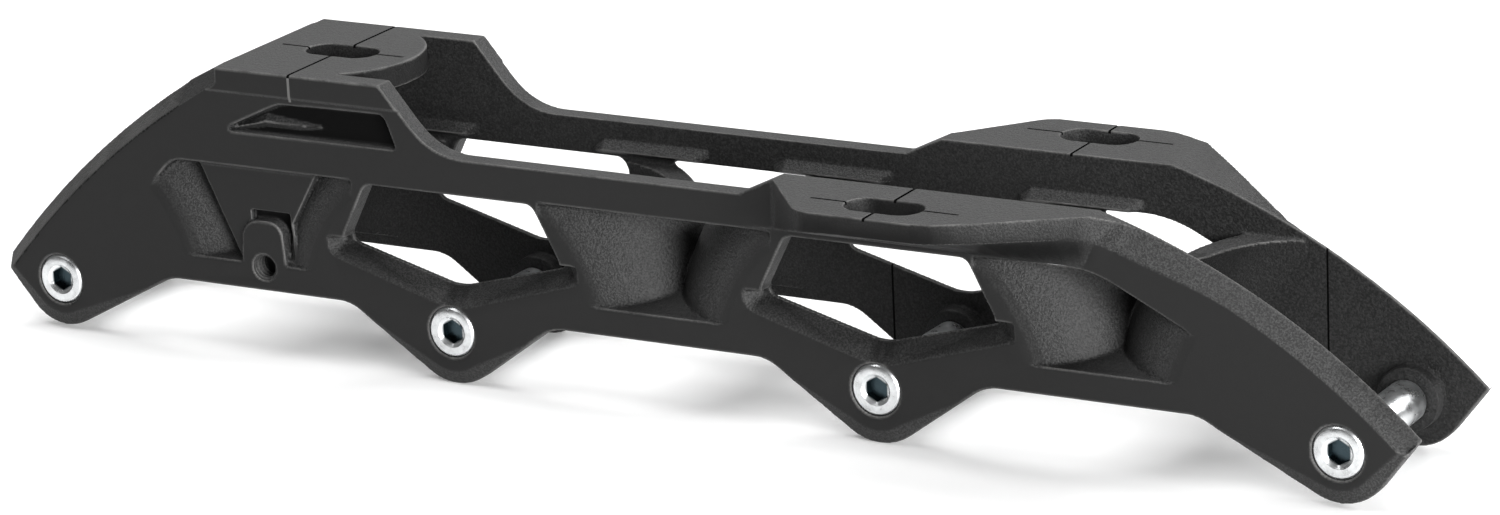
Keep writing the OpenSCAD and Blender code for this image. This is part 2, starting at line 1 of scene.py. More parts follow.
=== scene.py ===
"""Looks of the inline skate frame: a black casting and four zinc-plated axles on a pale floor."""

import json
import math

import bmesh
import bpy
import numpy as np
from mathutils import Matrix, Vector

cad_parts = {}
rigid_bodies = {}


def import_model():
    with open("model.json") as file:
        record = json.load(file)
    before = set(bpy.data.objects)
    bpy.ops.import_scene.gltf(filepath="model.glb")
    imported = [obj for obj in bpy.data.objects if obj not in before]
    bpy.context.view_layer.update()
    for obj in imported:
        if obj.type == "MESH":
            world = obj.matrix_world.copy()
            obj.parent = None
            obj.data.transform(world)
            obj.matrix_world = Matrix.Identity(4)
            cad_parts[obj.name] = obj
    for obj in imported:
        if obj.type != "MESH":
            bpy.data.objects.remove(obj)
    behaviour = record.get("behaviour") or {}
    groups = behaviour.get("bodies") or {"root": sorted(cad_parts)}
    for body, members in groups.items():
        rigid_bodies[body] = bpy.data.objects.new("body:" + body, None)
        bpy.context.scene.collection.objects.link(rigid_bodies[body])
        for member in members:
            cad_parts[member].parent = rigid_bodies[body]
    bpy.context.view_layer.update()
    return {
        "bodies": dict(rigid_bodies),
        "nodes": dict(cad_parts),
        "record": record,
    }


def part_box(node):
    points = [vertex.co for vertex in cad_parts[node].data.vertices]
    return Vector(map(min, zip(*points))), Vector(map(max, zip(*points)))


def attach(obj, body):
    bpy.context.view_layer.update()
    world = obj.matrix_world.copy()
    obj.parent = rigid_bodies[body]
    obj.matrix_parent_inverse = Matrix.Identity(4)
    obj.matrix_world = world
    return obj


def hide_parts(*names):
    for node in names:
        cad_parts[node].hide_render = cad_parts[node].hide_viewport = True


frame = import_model()

# Lengths are in metres
MM = 0.001
# Width of the photograph in pixels
IMAGE_W = 1500

CASTING_NODES = frame["record"]["behaviour"]["bodies"]["frame"]
AXLE_BODIES = [b for b in frame["bodies"] if b != "frame"]
MOUNTS = {m["name"]: m for m in frame["record"]["mounts"]}

# Driving sizes, read from the frame: outer and inner faces of the walls, and middles of the wheels
HALF_OUT = -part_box("head_side_wall")[0].y
HALF_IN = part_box("rear_web")[1].y
WHEELS = np.array([MOUNTS[name]["pos_m"] for name in MOUNTS if name.startswith("wheel_seat")])

# Cell of the casting's skin, about the radius of its edges, its smoothing and the share of faces kept
VOXEL = 0.28 * MM
SMOOTHING = {"factor": 0.5, "iterations": 3}
KEPT_FACES = 0.115
NORMAL_WEIGHT = 60

# Scribed crosses at the bolt slots: their reach along X and Y, and their width and height
PAD_CROSS = (15.0 * MM, 13.2 * MM)
CROSSES = {
    "rear_slot": (14.0 * MM, 20.0 * MM),
    "head_side_slot": PAD_CROSS,
    "thread_side_slot": PAD_CROSS,
}
SCRIBE_W = 0.55 * MM
SCRIBE_H = 0.6 * MM
# Length of the bare ticks that carry the rear cross down the deck's sides
TICK_LEN = 6.0 * MM
# Lines of the mould's core on the inner walls: places, width, upper end and reach from the wall
CORE_LINES = (31.8 * MM, 121.0 * MM)
CORE_LINE_W = 0.4 * MM
CORE_LINE_TOP = 37.0 * MM
CORE_LINE_REACH = 0.3 * MM

# Zones of the coat and of painted light and shade: the tail's chamfer lies behind TAIL_X, the ledges
# of pinches and windows below LEDGE_Z, the pinches below PINCH_Z and the faces under the boot above
# BOOT_Z
TAIL_X = WHEELS[0, 0] + 32.0 * MM
LEDGE_Z = 26.0 * MM
PINCH_Z = 32.0 * MM
BOOT_Z = 44.0 * MM
# Bend of the skin at which edges wear and at which shade is painted in hollows: start and growth
WEAR_BEND = (0.07, 0.10)
HOLLOW_SHADE_BEND = (0.05, 0.08)
# How squarely outer faces and pad sides look outwards: start and growth
FACE_SQUARE = (0.95, 0.04)
PAD_SQUARE = (0.85, 0.08)
# How level the faces under the boot are, which get a painted top light: start and growth
BOOT_LEVEL = (0.9, 0.08)
# Outer faces and the deck's sides stand out beyond the walls by less than FACE_STAND. Pads stand out
# more, here as start and growth, and so do their sloping undersides
FACE_STAND = 0.6 * MM
PAD_STAND = (0.8 * MM, 0.6 * MM)
UNDER_STAND = 0.5 * MM
UNDER_SLOPE = 0.2
# Depths below the outer face at which the recess, ledges, wheel bays and sheltered parts lie; the
# recess, ledges and wheel bays get painted shade
RECESS_DEPTH = (1.3 * MM, 2.5 * MM)
LEDGE_DEPTH = 0.3 * MM
BAY_DEPTH = 3.6 * MM
SHELTER_DEPTH = 6.0 * MM
LEDGE_UP = 0.6
# Rounds of blurring for the pads and the ledges
PAD_ROUNDS = 80
LEDGE_ROUNDS = 20
# Painted shade in the wheel bays: growth with the turn towards the wheel, and with the turn away from
# the flat walls
BAY_GROWTH = 0.15
BAY_FLAT = 0.97
BAY_ROUND = 0.2
# Painted shade in the cusps of the pinches: depth at which it starts, less on walls that look back,
# and growth
CUSP_DEPTH = 9.0 * MM
CUSP_DEPTH_BACK = 2.5 * MM
CUSP_BACK = 0.2
CUSP_GROWTH = 6.0 * MM
# Painted shadow line at the foot of the tail's chamfer, and painted light on the tail's chamfer: how
# they look outwards, back and up
FOOT_SHADE_SQUARE = (0.92, 0.985)
FOOT_SHADE_BACK = 0.08
FOOT_SHADE_UP = 0.05
TAIL_LIGHT_SQUARE = (0.3, 0.9)
TAIL_LIGHT_BACK = 0.15
TAIL_LIGHT_UP = 0.3
TAIL_LIGHT_SHARE = 0.42
# How dark the painted shade is at these places, next to the recess
PAD_DARK = 0.7
HOLLOW_DARK = 0.8
FOOT_SHADE_DARK = 0.9
LEDGE_DARK = 0.75
CUSP_DARK = 0.9
BAY_DARK = 0.6
# Keeps an edge without length from dividing by nothing
TINY = 1e-12

# Whole span of a share, and the middle span of a noise
WHOLE = (0.0, 1.0)
MID_SPAN = (0.3, 0.7)

# Tones of the coat, from dark to light
FLAT_TONE = (0.014, 0.018)
SKIN_TONE = (0.020, 0.050)
# Painted shade in the wheel bays
BAY_SHADE_TONE = (0.014, 0.034)
# Painted top light on the level faces under the boot
TOP_LIGHT_TONE = (0.050, 0.085)
# Painted shade in the recess, in hollows, under the pads, on ledges, in the cusps and along the foot
# of the tail's chamfer
PAINTED_SHADE_TONE = 0.005
MARK_TONE = 0.003
# Worn edges, and painted light on the tail's chamfer
WEAR_AND_LIGHT_TONE = 0.16
WEAR_TINT = (1.0, 0.99, 0.97)
# Noise of the coat in waves per metre, and the spans of it that count
GRAIN = 2700
LUMPS = 1400
CLOUD = 40
CHIPS = 140
GRAIN_SPAN = (0.42, 0.62)
BAY_SPAN = (0.4, 0.7)
CHIP_SPAN = (0.35, 0.65)
CHIP_WEAR = (0.3, 1.0)
# Roughness of flat faces and cast skin, then bump and gloss from flat faces to cast skin
FLAT_ROUGH = (0.40, 0.47)
SKIN_ROUGH = (0.45, 0.60)
COAT_BUMP = (0.08, 0.75)
COAT_GLOSS = (0.19, 0.28)
GRAIN_HEIGHT = 0.8
LUMP_HEIGHT = 0.6
BUMP_DEPTH = 0.35 * MM
# Share of the gloss that each zone loses, where shade and top light are painted
BAY_SHADE_DULL = 0.5
PAINTED_SHADE_DULL = 0.85
TOP_LIGHT_DULL = 0.7

# Zinc plating and its turning marks
ZINC_TINT = (0.98, 1.0, 1.01)
ZINC_DARK = 0.58
ZINC_LIGHT = 0.84
ZINC_POLISHED = 0.93
ZINC_ROUGH = (0.24, 0.36)
# Painted shade inside the hexagon socket
SOCKET_SHADE_COLOUR = (0.045, 0.065, 0.075, 1.0)
MOTTLE = 420
MOTTLE_SPAN = (0.35, 0.65)
TURNING = 5200
TURNING_BUMP = 0.12
TURNING_DEPTH = 0.05 * MM

# Floor: tone that is seen, tone in soft bounced light, and glow
FLOOR_SEEN = 0.92
FLOOR_BOUNCE = 0.25
FLOOR_GLOW = 0.16
FLOOR_ROUGH = 0.9
FLOOR_HALF = 6.0
ROOM_LIGHT = 0.1

# Threads of the axles and the brake lug
THREAD_PITCH = 1.0 * MM
THREAD_DEPTH = 0.5 * MM
# Axle's thread: rows of points in a turn, and how much its crests are flattened
THREAD_ROWS = 8
CREST_FLAT = 1.3
# Its fade at the tip: turns that a whole fade would take, and the share that is left at the end
TIP_FADE = 0.8
TIP_LEFT = 0.2
# Sleeve in the brake lug: its ends below the outer face, wall, fineness and wear of its crests
SLEEVE_ENDS = (0.25 * MM, 3.6 * MM)
SLEEVE_WALL = 0.15 * MM
SLEEVE_STEPS = 48
SLEEVE_ROWS = 40
CREST_WEAR = 0.5

# Axle: points around it, and play inside the CAD's outline
AXLE_STEPS = 96
AXLE_PLAY = 0.04 * MM
THREAD_PLAY = 0.06 * MM
FACE_PLAY = 0.02 * MM
TIP_PLAY = 0.05 * MM
# Its radii, the ends of the head and the seat as seen from the head's face, and the groove's length
SEAT_R = 4.0 * MM - AXLE_PLAY
THREAD_R = 3.5 * MM - THREAD_PLAY
HEAD_T = 2.55 * MM
SEAT_LEN = 30.9 * MM
GROOVE_LEN = 0.8 * MM
SEAT_POLISH = 0.7
# Socket: radius of its mouth, then depth with radius of the countersink and with width of the hexagon
MOUTH_R = 3.05 * MM
SINK = ((0.12 * MM, 2.92 * MM), (0.50 * MM, 2.45 * MM))
HEXAGON = ((0.62 * MM, 4.1 * MM), (2.2 * MM, 4.0 * MM))
SOCKET_END = 2.4 * MM
# Broken edges: front of the head on its face, at the rounding and on its side, back of the head,
# fillet under the head and chamfer of the seat
EDGE_FACE = 0.50 * MM
EDGE_ROUND = (0.10 * MM, 0.38 * MM)
EDGE_SIDE = 0.48 * MM
HEAD_BREAK = 0.1 * MM
FILLET_H = 0.15 * MM
FILLET_LEN = 0.2 * MM
SEAT_CHAMFER = 0.4 * MM
# Edges that turn by more degrees than this stay crisp
CRISP_ANGLE = 34


# Materials


class Nodes:
    """Small helper that adds nodes to a material and links them by socket name."""

    def __init__(self, name):
        self.material = bpy.data.materials.new(name)
        self.material.use_nodes = True
        self.tree = self.material.node_tree
        self.shader = self.tree.nodes["Principled BSDF"]

    def add(self, kind, inputs=None, **settings):
        node = self.tree.nodes.new("ShaderNode" + kind)
        for key, value in settings.items():
            setattr(node, key, value)
        for key, value in (inputs or {}).items():
            self.put(node, key, value)
        return node

    def put(self, node, key, value):
        socket = node.inputs[key]
        if isinstance(value, bpy.types.NodeSocket):
            self.tree.links.new(value, socket)
        else:
            socket.default_value = value

    def noise(self, where, scale, detail, roughness):
        inputs = {"Vector": where, "Scale": scale, "Detail": detail, "Roughness": roughness}
        return self.add("TexNoise", inputs).outputs["Fac"]

    def ramp(self, value, span, out=WHOLE):
        inputs = {"Value": value, 1: span[0], 2: span[1], 3: out[0], 4: out[1]}
        return self.add("MapRange", inputs).outputs["Result"]

    def math(self, operation, a, b):
        return self.add("Math", {0: a, 1: b}, operation=operation).outputs[0]

    def near(self, value, middle, reach):
        inputs = {0: value, 1: middle, 2: reach}
        return self.add("Math", inputs, operation="COMPARE").outputs[0]

    def mix(self, factor, a, b):
        node = self.add("Mix", {"Factor": factor}, data_type="RGBA")
        self.put(node, 6, a)
        self.put(node, 7, b)
        return node.outputs[2]

    def tone(self, factor, tones):
        return self.mix(factor, grey(tones[0]), grey(tones[1]))

    def attribute(self, name):
        return self.add("Attribute", attribute_name=name).outputs["Fac"]

    def axes(self, where):
        return self.add("SeparateXYZ", {"Vector": where}).outputs


def grey(value, tint=(1.0, 1.0, 1.0)):
    return tuple(value * t for t in tint) + (1.0,)


def scribed_marks(n, where):
    """One on the alignment crosses that are scribed across the bolt slots, nothing elsewhere."""
    x, y, z = n.axes(where)
    marks = None
    for slot, (reach_x, reach_y) in CROSSES.items():
        mid_x, mid_y, top = MOUNTS[slot]["pos_m"]
        across = n.math("MULTIPLY", n.near(x, mid_x, SCRIBE_W / 2), n.near(y, mid_y, reach_y))
        along = n.math("MULTIPLY", n.near(y, mid_y, SCRIBE_W / 2), n.near(x, mid_x, reach_x))
        cross = n.math("MULTIPLY", n.math("MAXIMUM", across, along), n.near(z, top, SCRIBE_H))
        marks = cross if marks is None else n.math("MAXIMUM", marks, cross)
    return marks


def core_lines(n, where):
    """One on the thin lines that the mould's core leaves on the inner walls."""
    x, y, z = n.axes(where)
    inside = n.near(n.math("ABSOLUTE", y, 0.0), HALF_IN, CORE_LINE_REACH)
    lines = n.math("MAXIMUM", *(n.near(x, line, CORE_LINE_W / 2) for line in CORE_LINES))
    low = n.math("LESS_THAN", z, CORE_LINE_TOP)
    return n.math("MULTIPLY", n.math("MULTIPLY", lines, inside), low)


def side_ticks(n, where):
    """One on the bare ticks that carry the rear cross down the deck's sides."""
    x, y, z = n.axes(where)
    mid_x, _, top = MOUNTS["rear_slot"]["pos_m"]
    outside = n.math("GREATER_THAN", n.math("ABSOLUTE", y, 0.0), HALF_OUT)
    tick = n.math("MULTIPLY", n.near(x, mid_x, SCRIBE_W / 2), n.near(z, top, TICK_LEN))
    return n.math("MULTIPLY", tick, outside)


def casting_material():
    """Satin black coat: smooth on outer faces, grainy where the cast skin shows, worn along edges,
    with painted shade in bays, recesses and hollows and painted light on top faces and the tail's
    chamfer.
    """
    n = Nodes("black_casting")
    where = n.add("TexCoord").outputs["Object"]
    skin = n.attribute("cast_skin")
    wear_and_light = n.attribute("wear_and_painted_light")
    bay_shade = n.attribute("painted_bay_shade")
    recess = n.attribute("recess")
    painted_top_light = n.attribute("painted_top_light")
    marks = n.math("MAXIMUM", scribed_marks(n, where), core_lines(n, where))
    grain = n.noise(where, GRAIN, detail=2.0, roughness=0.6)
    lumps = n.noise(where, LUMPS, detail=2.0, roughness=0.5)
    cloud = n.noise(where, CLOUD, detail=3.0, roughness=0.55)
    flecks = n.noise(where, CHIPS, detail=4.0, roughness=0.65)

    grain_tone = n.ramp(grain, GRAIN_SPAN)
    coat = n.mix(skin, n.tone(cloud, FLAT_TONE), n.tone(grain_tone, SKIN_TONE))
    # Painted shade in the wheel bays
    coat = n.mix(bay_shade, coat, n.tone(n.ramp(grain, BAY_SPAN), BAY_SHADE_TONE))
    # Painted shade in the recess, hollows, cusps, ledges and under the pads
    coat = n.mix(recess, coat, grey(PAINTED_SHADE_TONE))
    # Painted top light on the level faces under the boot
    coat = n.mix(painted_top_light, coat, n.tone(grain_tone, TOP_LIGHT_TONE))
    # Worn edges in chipped patches and bare ticks, with painted light on the tail's chamfer
    chips = n.ramp(flecks, CHIP_SPAN, CHIP_WEAR)
    wear = n.math("MAXIMUM", n.math("MULTIPLY", wear_and_light, chips), side_ticks(n, where))
    worn = n.mix(wear, coat, grey(WEAR_AND_LIGHT_TONE, WEAR_TINT))
    n.put(n.shader, "Base Color", n.mix(marks, worn, grey(MARK_TONE)))

    rough_flat = n.ramp(cloud, MID_SPAN, FLAT_ROUGH)
    rough_skin = n.ramp(grain, MID_SPAN, SKIN_ROUGH)
    rough = n.add("Mix", {"Factor": skin, "A": rough_flat, "B": rough_skin})
    n.put(n.shader, "Roughness", rough.outputs["Result"])

    fine = n.math("MULTIPLY", grain, GRAIN_HEIGHT)
    coarse = n.math("MULTIPLY", lumps, LUMP_HEIGHT)
    height = n.math("SUBTRACT", n.math("ADD", fine, coarse), marks)
    strength = n.ramp(skin, WHOLE, COAT_BUMP)
    bump = n.add("Bump", {"Strength": strength, "Distance": BUMP_DEPTH, "Height": height})
    n.put(n.shader, "Normal", bump.outputs["Normal"])

    # Gloss taken away on marks and where shade and top light are painted
    dull = marks
    for zone, lost in ((bay_shade, BAY_SHADE_DULL), (recess, PAINTED_SHADE_DULL), (painted_top_light, TOP_LIGHT_DULL)):
        dull = n.math("MAXIMUM", dull, n.math("MULTIPLY", zone, lost))
    gloss = n.ramp(skin, WHOLE, COAT_GLOSS)
    kept = n.ramp(dull, WHOLE, (1.0, 0.0))
    n.put(n.shader, "Specular IOR Level", n.math("MULTIPLY", gloss, kept))
    return n.material


def zinc_material():
    """Zinc-plated steel with fine turning marks around the axle and a slightly mottled shine, and
    painted shade inside the socket.
    """
    n = Nodes("axle_zinc")
    where = n.add("TexCoord").outputs["Object"]
    socket = n.attribute("painted_socket_shade")
    polish = n.attribute("polish")
    along = n.add("CombineXYZ", {"X": n.axes(where)["Y"]}).outputs["Vector"]
    turning = n.noise(along, TURNING, detail=2.0, roughness=0.6)
    mottle = n.noise(where, MOTTLE, detail=4.0, roughness=0.6)
    patches = n.ramp(mottle, MOTTLE_SPAN)
    plated = n.mix(patches, grey(ZINC_DARK, ZINC_TINT), grey(ZINC_LIGHT, ZINC_TINT))
    plated = n.mix(polish, plated, grey(ZINC_POLISHED, ZINC_TINT))
    # Painted shade inside the socket
    n.put(n.shader, "Base Color", n.mix(socket, plated, SOCKET_SHADE_COLOUR))
    n.shader.inputs["Metallic"].default_value = 1.0
    n.put(n.shader, "Roughness", n.ramp(mottle, MID_SPAN, ZINC_ROUGH))
    marks = {"Strength": TURNING_BUMP, "Distance": TURNING_DEPTH, "Height": turning}
    n.put(n.shader, "Normal", n.add("Bump", marks).outputs["Normal"])
    return n.material


def floor_material():
    """White with the object's shadow where it is seen or mirrored, darker to soft bounced light."""
    n = Nodes("studio_floor")
    path = n.add("LightPath").outputs
    seen = n.math("MAXIMUM", path["Is Camera Ray"], path["Is Glossy Ray"])
    seen = n.math("MAXIMUM", seen, path["Is Transmission Ray"])
    n.put(n.shader, "Base Color", n.mix(seen, grey(FLOOR_BOUNCE), grey(FLOOR_SEEN)))
    n.shader.inputs["Emission Color"].default_value = grey(1.0)
    n.put(n.shader, "Emission Strength", n.math("MULTIPLY", seen, FLOOR_GLOW))
    n.shader.inputs["Roughness"].default_value = FLOOR_ROUGH
    n.shader.inputs["Specular IOR Level"].default_value = 0.0
    return n.material


# Casting


def new_object(name, data):
    obj = bpy.data.objects.new(name, data)
    bpy.context.scene.collection.objects.link(obj)
    return obj


def points_of(mesh, field="co"):
    values = np.empty(len(mesh.vertices) * 3)
    mesh.vertices.foreach_get(field, values)
    return values.reshape(-1, 3)


def modified(mesh, *modifiers):
    """A copy of a mesh after modifiers, each given as its kind and settings."""
    obj = new_object("rough", mesh)
    for kind, settings in modifiers:
        step = obj.modifiers.new(kind, kind)
        for key, value in settings.items():
            setattr(step, key, value)
    shown = obj.evaluated_get(bpy.context.evaluated_depsgraph_get())
    result = bpy.data.meshes.new_from_object(shown)
    bpy.data.objects.remove(obj)
    return result


def casting_mesh():
    """One skin over all casting nodes: they grow together, and every edge gets a small radius."""
    points, faces, start = [], [], 0
    for node in CASTING_NODES:
        mesh = frame["nodes"][node].data
        points.append(points_of(mesh))
        faces += [tuple(i + start for i in face.vertices) for face in mesh.polygons]
        start += len(mesh.vertices)
    rough = bpy.data.meshes.new("casting_rough")
    rough.from_pydata(np.concatenate(points).tolist(), [], faces)
    voxels = {"mode": "VOXEL", "voxel_size": VOXEL, "use_smooth_shade": True}
    mesh = modified(rough, ("REMESH", voxels), ("SMOOTH", SMOOTHING))
    paint_casting(mesh)
    shading = {"mode": "FACE_AREA", "weight": NORMAL_WEIGHT}
    return modified(mesh, ("DECIMATE", {"ratio": KEPT_FACES}), ("WEIGHTED_NORMAL", shading))


def soft(value, start, growth):
    """Grows from nothing at the start to one."""
    return np.clip((value - start) / growth, 0, 1)


def edge_sums(a, b, at_a, at_b, count):
    """Sum, at each point, of what its edges bring to their first and second ends."""
    return np.bincount(a, at_a, count) + np.bincount(b, at_b, count)


def edge_counts(a, b, count):
    return np.bincount(a, minlength=count) + np.bincount(b, minlength=count)


def spread(values, a, b, rounds):
    """Values of a mesh's points, blurred along its edges."""
    values = values.astype(float)
    shares = edge_counts(a, b, len(values)) + 1
    for _ in range(rounds):
        values = (values + edge_sums(a, b, values[b], values[a], len(values))) / shares
    return values


def bend_of(co, normal, a, b):
    """How sharply the skin turns at each point: above zero on outer edges, below it in hollows."""
    step = co[b] - co[a]
    step /= np.linalg.norm(step, axis=1)[:, None] + TINY
    total = edge_sums(a, b, -(step * normal[a]).sum(1), (step * normal[b]).sum(1), len(co))
    return total / np.maximum(edge_counts(a, b, len(co)), 1)


def paint_casting(mesh):
    """Stores the zones of the coat, and of painted light and shade, on the mesh, for the material."""
    co = points_of(mesh)
    normal = points_of(mesh, "normal")
    ends = np.empty(len(mesh.edges) * 2, int)
    mesh.edges.foreach_get("vertices", ends)
    a, b = ends.reshape(-1, 2).T
    bend = bend_of(co, normal, a, b)
    x, y, z = co.T
    ahead, left, up = normal.T
    depth = HALF_OUT - y * np.sign(y)
    facing = left * np.sign(y)

    # Smooth outer faces, and the sides and undersides of the pads
    outer_face = soft(facing, *FACE_SQUARE) * (depth > -FACE_STAND)
    pad_under = (up < -UNDER_SLOPE) * (depth < -UNDER_STAND)
    pad_side = np.maximum(soft(-depth, *PAD_STAND) * soft(facing, *PAD_SQUARE), pad_under)
    pad_side = spread(pad_side, a, b, PAD_ROUNDS)
    smooth_face = np.maximum(outer_face, pad_side)

    # Insides of the wheel bays, which look at the middle of the nearest wheel, and get painted shade
    to_wheel = WHEELS[np.abs(co[:, :1] - WHEELS[:, 0]).argmin(1)] - co
    inward = (to_wheel * normal).sum(1) / np.linalg.norm(to_wheel, axis=1)
    bay_shade = soft(inward, 0.0, BAY_GROWTH) * (depth > BAY_DEPTH)
    round_bay_shade = bay_shade * soft(-np.abs(facing), -BAY_FLAT, BAY_ROUND)

    # Painted shade: dark and dull places in the recess, under the pads, in hollows, along the foot of
    # the tail's chamfer, on ledges, in the cusps and in the round walls of the bays
    sunk = outer_face * (depth > RECESS_DEPTH[0]) * (depth < RECESS_DEPTH[1])
    # Painted shade on low ledges, as if shaded by the rails and pads above
    ledge = (up > LEDGE_UP) * (depth > LEDGE_DEPTH) * (z < LEDGE_Z)
    ledge = spread(ledge, a, b, LEDGE_ROUNDS)
    # Painted shade in the hollows of the skin
    hollow = soft(-bend, *HOLLOW_SHADE_BEND)
    tail = x < TAIL_X
    # Painted shadow line at the foot of the tail's chamfer
    chamfer_foot_shade = tail * (facing > FOOT_SHADE_SQUARE[0]) * (facing < FOOT_SHADE_SQUARE[1])
    chamfer_foot_shade = chamfer_foot_shade * (ahead < -FOOT_SHADE_BACK) * (up > FOOT_SHADE_UP)
    # Painted shade deep in the cusps of the pinches
    cusp_start = np.where(ahead < -CUSP_BACK, CUSP_DEPTH_BACK, CUSP_DEPTH)
    cusp = soft(depth, cusp_start, CUSP_GROWTH) * (z < PINCH_Z) * (1 - bay_shade)
    shade_zones = [
        sunk,
        # Painted shade on the sides and undersides of the pads
        PAD_DARK * pad_side,
        HOLLOW_DARK * hollow,
        FOOT_SHADE_DARK * chamfer_foot_shade,
        LEDGE_DARK * ledge,
        CUSP_DARK * cusp,
        BAY_DARK * round_bay_shade,
    ]

    # Worn edges, apart from the painted shadow line and those deep inside, and painted light on the
    # tail's chamfer
    tail_chamfer_light = tail * (facing > TAIL_LIGHT_SQUARE[0]) * (facing < TAIL_LIGHT_SQUARE[1])
    tail_chamfer_light = tail_chamfer_light * (ahead < -TAIL_LIGHT_BACK) * (up > TAIL_LIGHT_UP)
    sheltered = (depth > SHELTER_DEPTH) * (z < PINCH_Z)
    wear = soft(bend, *WEAR_BEND) * ~(chamfer_foot_shade | sheltered)

    zones = {
        "cast_skin": 1.0 - smooth_face,
        # Worn edges, with painted light on the tail's chamfer
        "wear_and_painted_light": np.maximum(wear, TAIL_LIGHT_SHARE * tail_chamfer_light),
        "painted_bay_shade": bay_shade,
        "recess": np.max(shade_zones, 0),
        # Painted top light on the level faces under the boot
        "painted_top_light": soft(up, *BOOT_LEVEL) * (z > BOOT_Z),
    }
    for name, values in zones.items():
        layer = mesh.attributes.new(name, "FLOAT", "POINT")
        layer.data.foreach_set("value", values.astype(np.float32))


def build_casting(material):
    mesh = casting_mesh()
    mesh.materials.clear()
    mesh.materials.append(material)
    obj = new_object("casting", mesh)
    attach(obj, "frame")
    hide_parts(*CASTING_NODES)


# Turned pieces


def ring(bm, y, radius, steps):
    angles = [2 * math.pi * i / steps for i in range(steps)]
    return [bm.verts.new((radius * math.cos(a), y, radius * math.sin(a))) for a in angles]


def hex_ring(bm, y, across_flats, steps):
    """A hexagon with its sides divided, so that it bridges to a circle of as many points."""
    points = []
    sixth = math.pi / 3
    for i in range(steps):
        a = 2 * math.pi * i / steps
        radius = across_flats / 2 / math.cos((a + sixth / 2) % sixth - sixth / 2)
        points.append(bm.verts.new((radius * math.cos(a), y, radius * math.sin(a))))
    return points


def bridge(bm, low, high):
    n = len(low)
    for i in range(n):
        bm.faces.new((low[i], low[(i + 1) % n], high[(i + 1) % n], high[i]))


def mark(points, layer, value):
    for point in points:
        point[layer] = value


def thread_crest(y, i, steps):
    """From nothing in the root of a one-start thread to one on its crest, at a step around it."""
    return 1 - abs(2 * ((y / THREAD_PITCH - i / steps) % 1.0) - 1)


def mesh_from(bm, name, shift):
    bmesh.ops.recalc_face_normals(bm, faces=bm.faces)
    bmesh.ops.translate(bm, verts=bm.verts, vec=shift)
    mesh = bpy.data.meshes.new(name)
    bm.to_mesh(mesh)
    bm.free()
    return mesh


def build_brake_thread(material):
    """Thread in the brake lug's hole: a sleeve that sits in the casting, its crests worn bright."""
    mount = MOUNTS["brake_thread"]
    x, _, z = mount["pos_m"]
    radius = mount["dims"]["r_mm"] * MM
    y0, y1 = (end - HALF_OUT for end in SLEEVE_ENDS)
    bm = bmesh.new()
    wear = bm.verts.layers.float.new("wear_and_painted_light")
    skin = bm.verts.layers.float.new("cast_skin")
    first = last = ring(bm, y0, radius + SLEEVE_WALL, SLEEVE_STEPS)
    for k in range(SLEEVE_ROWS + 1):
        y = y0 + (y1 - y0) * k / SLEEVE_ROWS
        loop = ring(bm, y, radius, SLEEVE_STEPS)
        for i, v in enumerate(loop):
            crest = thread_crest(y - y0, i, SLEEVE_STEPS)
            inner = 1 - THREAD_DEPTH * crest / radius
            v.co.x, v.co.z = inner * v.co.x, inner * v.co.z
            v[wear] = CREST_WEAR * max(0.0, 2 * crest - 1)
        bridge(bm, last, loop)
        last = loop
    end = ring(bm, y1, radius + SLEEVE_WALL, SLEEVE_STEPS)
    bridge(bm, last, end)
    bridge(bm, end, first)
    mark(bm.verts, skin, 1.0)
    mesh = mesh_from(bm, "brake_thread", (x, 0, z))
    mesh.materials.append(material)
    obj = new_object("brake_thread", mesh)
    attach(obj, "frame")


def cut_socket(bm, last, head_y, polish, depth):
    """Polished countersink and hexagon socket with painted shade inside, from the loop of the mouth
    to a shallow point.
    """
    for y, radius in SINK:
        loop = ring(bm, head_y + y, radius, AXLE_STEPS)
        mark(loop, polish, 1.0)
        bridge(bm, loop, last)
        last = loop
    for y, across_flats in HEXAGON:
        loop = hex_ring(bm, head_y + y, across_flats, AXLE_STEPS)
        mark(loop, depth, 1.0)
        bridge(bm, loop, last)
        last = loop
    point = bm.verts.new((0, head_y + SOCKET_END, 0))
    point[depth] = 1.0
    for i in range(AXLE_STEPS):
        bm.faces.new((last[(i + 1) % AXLE_STEPS], last[i], point))


def cut_thread(bm, last, y0, y1):
    """Rings whose radius follows a one-start thread, which fades out at the tip."""
    rows = int((y1 - y0) / THREAD_PITCH * THREAD_ROWS)
    for k in range(1, rows + 1):
        y = y0 + (y1 - y0) * k / rows
        fade = min(1.0, (y1 - y) / (TIP_FADE * THREAD_PITCH) + TIP_LEFT)
        loop = []
        for i in range(AXLE_STEPS):
            a = 2 * math.pi * i / AXLE_STEPS
            crest = min(1.0, CREST_FLAT * thread_crest(y - y0, i, AXLE_STEPS))
            r = THREAD_R - THREAD_DEPTH + THREAD_DEPTH * crest * fade
            loop.append(bm.verts.new((r * math.cos(a), y, r * math.sin(a))))
        bridge(bm, last, loop)
        last = loop
    return last


